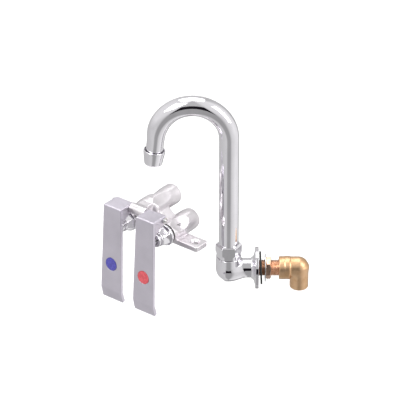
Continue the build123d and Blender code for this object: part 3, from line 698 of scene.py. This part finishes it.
def valve_shape(x, y, z):
    """Casting: two inlet barrels, the outlet barrel above them, webs, hinge boss and ears."""
    side_x = np.abs(x)
    barrel_across = length(side_x - BARREL_X, z)
    inlet = meet(rod(barrel_across, y, 0, BARREL_LENGTH, BARREL_R, 0.5),
                 length(barrel_across, np.maximum(y - 40, 0) * 0.72) - BARREL_R - 0.9, 3.0)
    centre_across = length(x, z - CENTRE_Z)
    outlet = meet(centre_across - CENTRE_R, y - BARREL_LENGTH, 2.5)
    outlet = meet(outlet, -y, 6.5)
    web_angle = math.atan2(CENTRE_Z, BARREL_X)
    web_across = np.abs((side_x - BARREL_X / 2) * math.sin(web_angle) + (z - CENTRE_Z / 2) * math.cos(web_angle))
    web_along = np.abs((side_x - BARREL_X / 2) * math.cos(web_angle) - (z - CENTRE_Z / 2) * math.sin(web_angle))
    web = meet(web_across - 6.25, np.maximum(web_along - 15, np.maximum(7 - y, y - 26)), 1.5)
    body = join(join(inlet, web, 2.2), outlet, 2.2)
    ear = outline_distance(side_x, y, rounded([(36, 5.5, 0), (73.5, 5.5, 3.2), (73.5, 28, 3.2), (36, 28, 0)]))
    ear = meet(ear, np.maximum(-BARREL_R - z, z - EAR_TOP_Z), 0.7)
    body = join(body, ear, 2.4)
    boss = rod(length(y - HINGE_Y, z - HINGE_Z), side_x, -1, 11.95, 7.2, 0.7)
    neck = outline_distance(y, z, rounded([(-16.5, 35.8, 0), (4, 35.8, 2), (8, 25, 0), (4, 17, 0), (-13.5, 24.3, 0)]))
    neck = meet(neck, side_x - 8, 1.2)
    body = join(body, join(boss, neck, 1.5), 2.0)
    for start, end, radius in ((-1, 20.5, 10.4), (0, 25, 7.5), (25, 40, 8.6), (40, 41.5, 9.6), (41.5, 60, 10.0)):
        body = cut(body, rod(barrel_across, y, start, end, radius, 0.1), 0.5 if end == 60 or start == -1 else 0.1)
    body = cut(body, rod(centre_across, y, 9, 60, 9.8, 0.3), 0.6)
    body = cut(body, length(y - HINGE_Y, z - HINGE_Z) - 2.5, 0.2)
    sink = np.maximum(EAR_HOLE_R, 6.4 + 1.15 * (z - EAR_TOP_Z))
    return cut(body, (length(side_x - EAR_HOLE_X, y - EAR_HOLE_Y) - sink) * 0.75, 0.3)


show("valve_body", surface(valve_shape, (-74, -24, -15), (74, 52, 39), 0.8), VALVE)

# Bent pedal. Its outline is drawn in (y, z); lean and lip follow from its angles.
PEDAL_THICKNESS, PEDAL_TOP_Z, PEDAL_FRONT_Y, PEDAL_REAR_Y = 5.0, 35.5, -38.0, -12.5
PEDAL_DROP, PEDAL_LEAN, LIP_LENGTH, LIP_ANGLE = 118.0, math.radians(3.0), 16.0, math.radians(14.0)
DOT_R, DOT_DROP = 8.75, 81.0
bend_y = PEDAL_FRONT_Y - PEDAL_DROP * math.sin(PEDAL_LEAN)
bend_z = PEDAL_TOP_Z - PEDAL_DROP * math.cos(PEDAL_LEAN)
foot_y = bend_y + LIP_LENGTH * math.sin(LIP_ANGLE)
foot_z = bend_z - LIP_LENGTH * math.cos(LIP_ANGLE)
dot_y = PEDAL_FRONT_Y - DOT_DROP * math.sin(PEDAL_LEAN)
dot_z = PEDAL_TOP_Z - DOT_DROP * math.cos(PEDAL_LEAN)
pedal_outline = rounded([
    (PEDAL_REAR_Y, PEDAL_TOP_Z, 0.9), (PEDAL_FRONT_Y, PEDAL_TOP_Z, 1.4), (bend_y, bend_z, 3.0),
    (foot_y, foot_z, 0.9),
    (foot_y + PEDAL_THICKNESS * math.cos(LIP_ANGLE), foot_z + PEDAL_THICKNESS * math.sin(LIP_ANGLE), 0.9),
    (bend_y + PEDAL_THICKNESS, bend_z, 3.0),
    (PEDAL_FRONT_Y + PEDAL_THICKNESS, PEDAL_TOP_Z - PEDAL_THICKNESS, 1.0),
    (PEDAL_REAR_Y, PEDAL_TOP_Z - PEDAL_THICKNESS, 0.9),
])
cheek_outline = rounded([
    (-36, 33.5, 0), (PEDAL_REAR_Y, 33.5, 1), (PEDAL_REAR_Y, 27.5, 1.5), (-17.5, 24.5, 3), (-35, 15, 1), (-36, 15, 0),
])


def pedal_shape(x, y, z):
    """One pedal about its own middle: tapering bent plate, two cheeks, recess for the dot."""
    half_width = 13.75 + (PEDAL_TOP_Z - z) / (PEDAL_TOP_Z - foot_z) * 2.75
    sides = np.abs(x) - half_width
    plate = meet(outline_distance(y, z, pedal_outline), sides, 0.9)
    corner = meet(-x - half_width, y - PEDAL_REAR_Y, 5.0)
    plate = meet(plate, corner, 0.6)
    cheek = meet(outline_distance(y, z, cheek_outline), np.maximum(sides, half_width - 3.5 - np.abs(x)), 0.6)
    body = join(plate, cheek, 1.2)
    body = cut(body, length(y - HINGE_Y, z - HINGE_Z) - 2.55, 0.25)
    proud = (dot_y - y) * math.cos(PEDAL_LEAN) + (z - dot_z) * math.sin(PEDAL_LEAN)
    on_face = (z - dot_z) * math.cos(PEDAL_LEAN) + (y - dot_y) * math.sin(PEDAL_LEAN)
    recess = np.maximum(length(x, on_face) - DOT_R - 0.1, -proud - 0.6)
    return cut(body, recess, 0.25)


pedal = surface(pedal_shape, (-17, -46, foot_z), (17, -12, 36), 0.7)
dot_matrix = Matrix.Translation((0, dot_y, dot_z)) @ Matrix.Rotation(math.radians(90) - PEDAL_LEAN, 4, "X")
dot = turned(rounded([
    (0, -0.6, 0), (DOT_R - 0.05, -0.6, 0.15), (DOT_R - 0.05, 0.12, 0.2), (5, 0.3, 8), (0, 0.34, 0),
]))


def bonnet_shape(x, y, z):
    """Bonnet about its barrel's axis: flange, tapering hexagon, grooved nose, bore for the stem."""
    radius = length(x, z)
    flats = hexagon(x, z, 22.0, 0.5, turn=30.0)
    taper = outline_distance(y, flats, rounded([(-4, 0, 0), (-4, 11.2, 0), (-16.5, 9.7, 0.4), (-16.5, 0, 0)]))
    cone = outline_distance(y, radius, rounded([(-4, 0, 0), (-4, 14, 0), (-16.5, 10.4, 0.6), (-16.5, 0, 0)]))
    head = outline_distance(y, radius, rounded([
        (11, 0, 0), (11, 10.35, 0.4), (-2, 10.35, 0.2), (-2, 14.3, 0.4), (-5.6, 14.3, 0.9), (-5.6, 9.6, 0.4),
        (-18.5, 9.6, 0.4), (-18.5, 7.6, 0.3), (-20, 7.6, 0.3), (-20, 8.8, 0.4), (-23.5, 8.8, 1.3), (-23.5, 0, 0),
    ]))
    body = np.minimum(meet(taper, cone, 0.4), head)
    body = cut(body, rod(radius, y, -40, 20, 3.05, 0), 0.2)
    body = cut(body, rod(radius, y, -6, 20, 5.05, 0.1), 0.3)
    return cut(body, rod(radius, y, -40, -18.5, 4.9, 0.2), 0.3)


bonnet = surface(bonnet_shape, (-15, -24, -15), (15, 11.5, 15), 0.5)
seal_ring = turned([(13.2 + 0.98 * math.cos(t), -1 + 0.98 * math.sin(t))
                    for t in np.linspace(0, 2 * math.pi, 24, endpoint=False)])
stem = turned(rounded([
    (0, -34.1, 0), (4.5, -34.1, 2.4), (4.5, -22.7, 0.5), (3, -22.7, 0.2), (3, -4, 0.2), (5, -4, 0.3), (5, -1, 0.15),
    (3.4, -1, 0.15), (3.4, 1, 0.15), (5, 1, 0.15), (5, 4, 0.3), (3, 4, 0.2), (3, 25.7, 0.2), (2, 25.7, 0.1),
    (2, 31.6, 0.4), (0, 31.6, 0),
]))
retainer = turned(rounded([(4.2, 40, 0.2), (9.58, 40, 0.2), (9.58, 41.5, 0.3), (4.2, 41.5, 0.5)]))

for side, name in ((-1, "cold"), (1, "hot")):
    pedal_matrix = VALVE @ Matrix.Translation((side * PEDAL_X, 0, 0))
    barrel_matrix = VALVE @ Matrix.Translation((side * BARREL_X, 0, 0))
    show(name + "_pedal", pedal, pedal_matrix)
    show(name + "_dot", dot, pedal_matrix @ dot_matrix)
    show(name + "_bonnet", bonnet, barrel_matrix)
    show(name + "_bonnet_seal", seal_ring, barrel_matrix @ Z_TO_Y)
    show(name + "_stem", stem, barrel_matrix @ Z_TO_Y)
    show(name + "_spring_retainer", retainer, barrel_matrix @ Z_TO_Y)

pin_matrix = VALVE @ Matrix.Translation((0, HINGE_Y, HINGE_Z)) @ Z_TO_X
show("hinge_pin", turned(rounded([
    (0, -43.5, 0), (2.5, -43.5, 0.7), (2.5, -42, 0.1), (2, -42, 0.1), (2, -41.2, 0.1), (2.5, -41.2, 0.1),
    (2.5, 41.2, 0.1), (2, 41.2, 0.1), (2, 42, 0.1), (2.5, 42, 0.1), (2.5, 43.5, 0.7), (0, 43.5, 0),
]), 64), pin_matrix)

# =============================== studio ===============================
FLOOR_DROP = 0.16
floor_mesh = bpy.data.meshes.new("floor")
reach = 6.0
floor_z = cad_low.z - FLOOR_DROP
floor_mesh.from_pydata([(-reach, -reach, floor_z), (reach, -reach, floor_z), (reach, reach, floor_z),
                        (-reach, reach, floor_z)], [], [(0, 1, 2, 3)])
floor = bpy.data.objects.new("floor", floor_mesh)
bpy.context.scene.collection.objects.link(floor)
floor_material, floor_tree = new_material("floor")
floor_colour = ramp(floor_tree, noise(floor_tree, object_points(floor_tree), 3.0), [(0.3, 0.86), (0.7, 0.88)])
floor_roughness = ramp(floor_tree, noise(floor_tree, object_points(floor_tree), 9.0), [(0.3, 0.8), (0.7, 0.9)])
finish_material(floor_tree, floor_colour, floor_roughness, 0.0)
floor_mesh.materials.append(floor_material)
floor.visible_glossy = False


def studio_world():
    """White studio for the camera; for light and reflections, pale walls with softer and darker stretches."""
    world = bpy.data.worlds.new("studio")
    world.use_nodes = True
    tree = world.node_tree
    direction = tree.nodes.new("ShaderNodeTexCoord").outputs["Generated"]
    parts = add(tree, "ShaderNodeSeparateXYZ", Vector=direction)
    x, y, z = parts.outputs

    def maths(operation, *values):
        node = add(tree, "ShaderNodeMath", **{f"i{k}": value for k, value in enumerate(values)})
        node.operation = operation
        return node.outputs[0]

    # from 0 to 1 once round: 0.5 is towards the camera, larger is to the camera's right
    round_about = maths("MULTIPLY_ADD", maths("ARCTAN2", x, maths("MULTIPLY", y, -1.0)), 1 / (2 * math.pi), 0.5)
    below = ramp(tree, round_about, [
        (0.00, 0.42), (0.06, 0.62), (0.30, 0.72), (0.42, 0.78), (0.46, 0.42), (0.54, 0.42), (0.585, 0.80),
        (0.72, 1.05), (0.84, 0.95), (0.90, 0.45), (1.00, 0.42),
    ])
    above = ramp(tree, round_about, [
        (0.00, 0.75), (0.15, 0.95), (0.30, 1.00), (0.44, 0.95), (0.47, 0.60), (0.53, 0.60), (0.57, 0.95),
        (0.80, 1.05), (0.92, 0.60), (1.00, 0.75),
    ])
    upward = add(tree, "ShaderNodeMapRange", Value=z)
    upward.inputs["From Min"].default_value = -0.12
    upward.inputs["From Max"].default_value = 0.20
    walls = add(tree, "ShaderNodeMix")
    walls.data_type = "RGBA"
    for value, socket in ((upward.outputs[0], walls.inputs[0]), (below, walls.inputs[6]), (above, walls.inputs[7])):
        tree.links.new(value, socket)
    # a dark patch straight behind the camera, which the chrome mirrors
    off_side = maths("ABSOLUTE", maths("SUBTRACT", round_about, 0.5))
    off_level = maths("ABSOLUTE", maths("SUBTRACT", z, 0.14))
    near = maths("MULTIPLY", maths("LESS_THAN", off_side, 0.045), maths("LESS_THAN", off_level, 0.26))
    dark = add(tree, "ShaderNodeMix")
    dark.data_type = "RGBA"
    dark.inputs[7].default_value = (0.012, 0.010, 0.014, 1)
    tree.links.new(near, dark.inputs[0])
    tree.links.new(walls.outputs[2], dark.inputs[6])
    room = tree.nodes["Background"]
    tree.links.new(dark.outputs[2], room.inputs["Color"])
    room.inputs["Strength"].default_value = 0.95
    white = add(tree, "ShaderNodeBackground", Color=(1, 1, 1, 1), Strength=1.0)
    seen = tree.nodes.new("ShaderNodeLightPath").outputs["Is Camera Ray"]
    both = add(tree, "ShaderNodeMixShader", i0=seen, i1=room.outputs[0], i2=white.outputs[0])
    tree.links.new(both.outputs[0], tree.nodes["World Output"].inputs["Surface"])
    bpy.context.scene.world = world


studio_world()


def soft_light(name, place, size, power, aim):
    light = bpy.data.lights.new(name, "AREA")
    light.shape = "RECTANGLE"
    light.size, light.size_y = size
    light.energy = power
    lamp = bpy.data.objects.new(name, light)
    lamp.location = place
    lamp.rotation_mode = "QUATERNION"
    lamp.rotation_quaternion = (Vector(aim) - Vector(place)).to_track_quat("-Z", "Y")
    bpy.context.scene.collection.objects.link(lamp)


middle = (cad_low + cad_high) / 2
soft_light("key_light", (-0.9, -0.7, 1.3), (0.9, 0.9), 16.0, middle)
soft_light("fill_light", (1.1, -0.4, 0.8), (0.6, 1.1), 8.0, middle)
soft_light("top_light", (-0.1, 0.5, 1.6), (1.2, 1.2), 12.0, middle)

# The camera looks square on to the spout's plane, from 30 degrees above.
CAMERA_AIM = Vector((-0.0615, 0.0, 0.0844))
CAMERA_DISTANCE, CAMERA_ELEVATION = 3.0, math.radians(30.0)
CAMERA_LENS = 205.7
camera = bpy.data.objects.new("camera", bpy.data.cameras.new("camera"))
camera.data.lens = CAMERA_LENS
camera.data.sensor_width = 36.0
camera.data.clip_start = 0.01
camera.data.clip_end = 50.0
back = Vector((0, -math.cos(CAMERA_ELEVATION), math.sin(CAMERA_ELEVATION)))
camera.location = CAMERA_AIM + back * CAMERA_DISTANCE
camera.rotation_mode = "QUATERNION"
camera.rotation_quaternion = (-back).to_track_quat("-Z", "Y")
bpy.context.scene.collection.objects.link(camera)
bpy.context.scene.camera = camera
bpy.context.scene.view_settings.view_transform = "Standard"
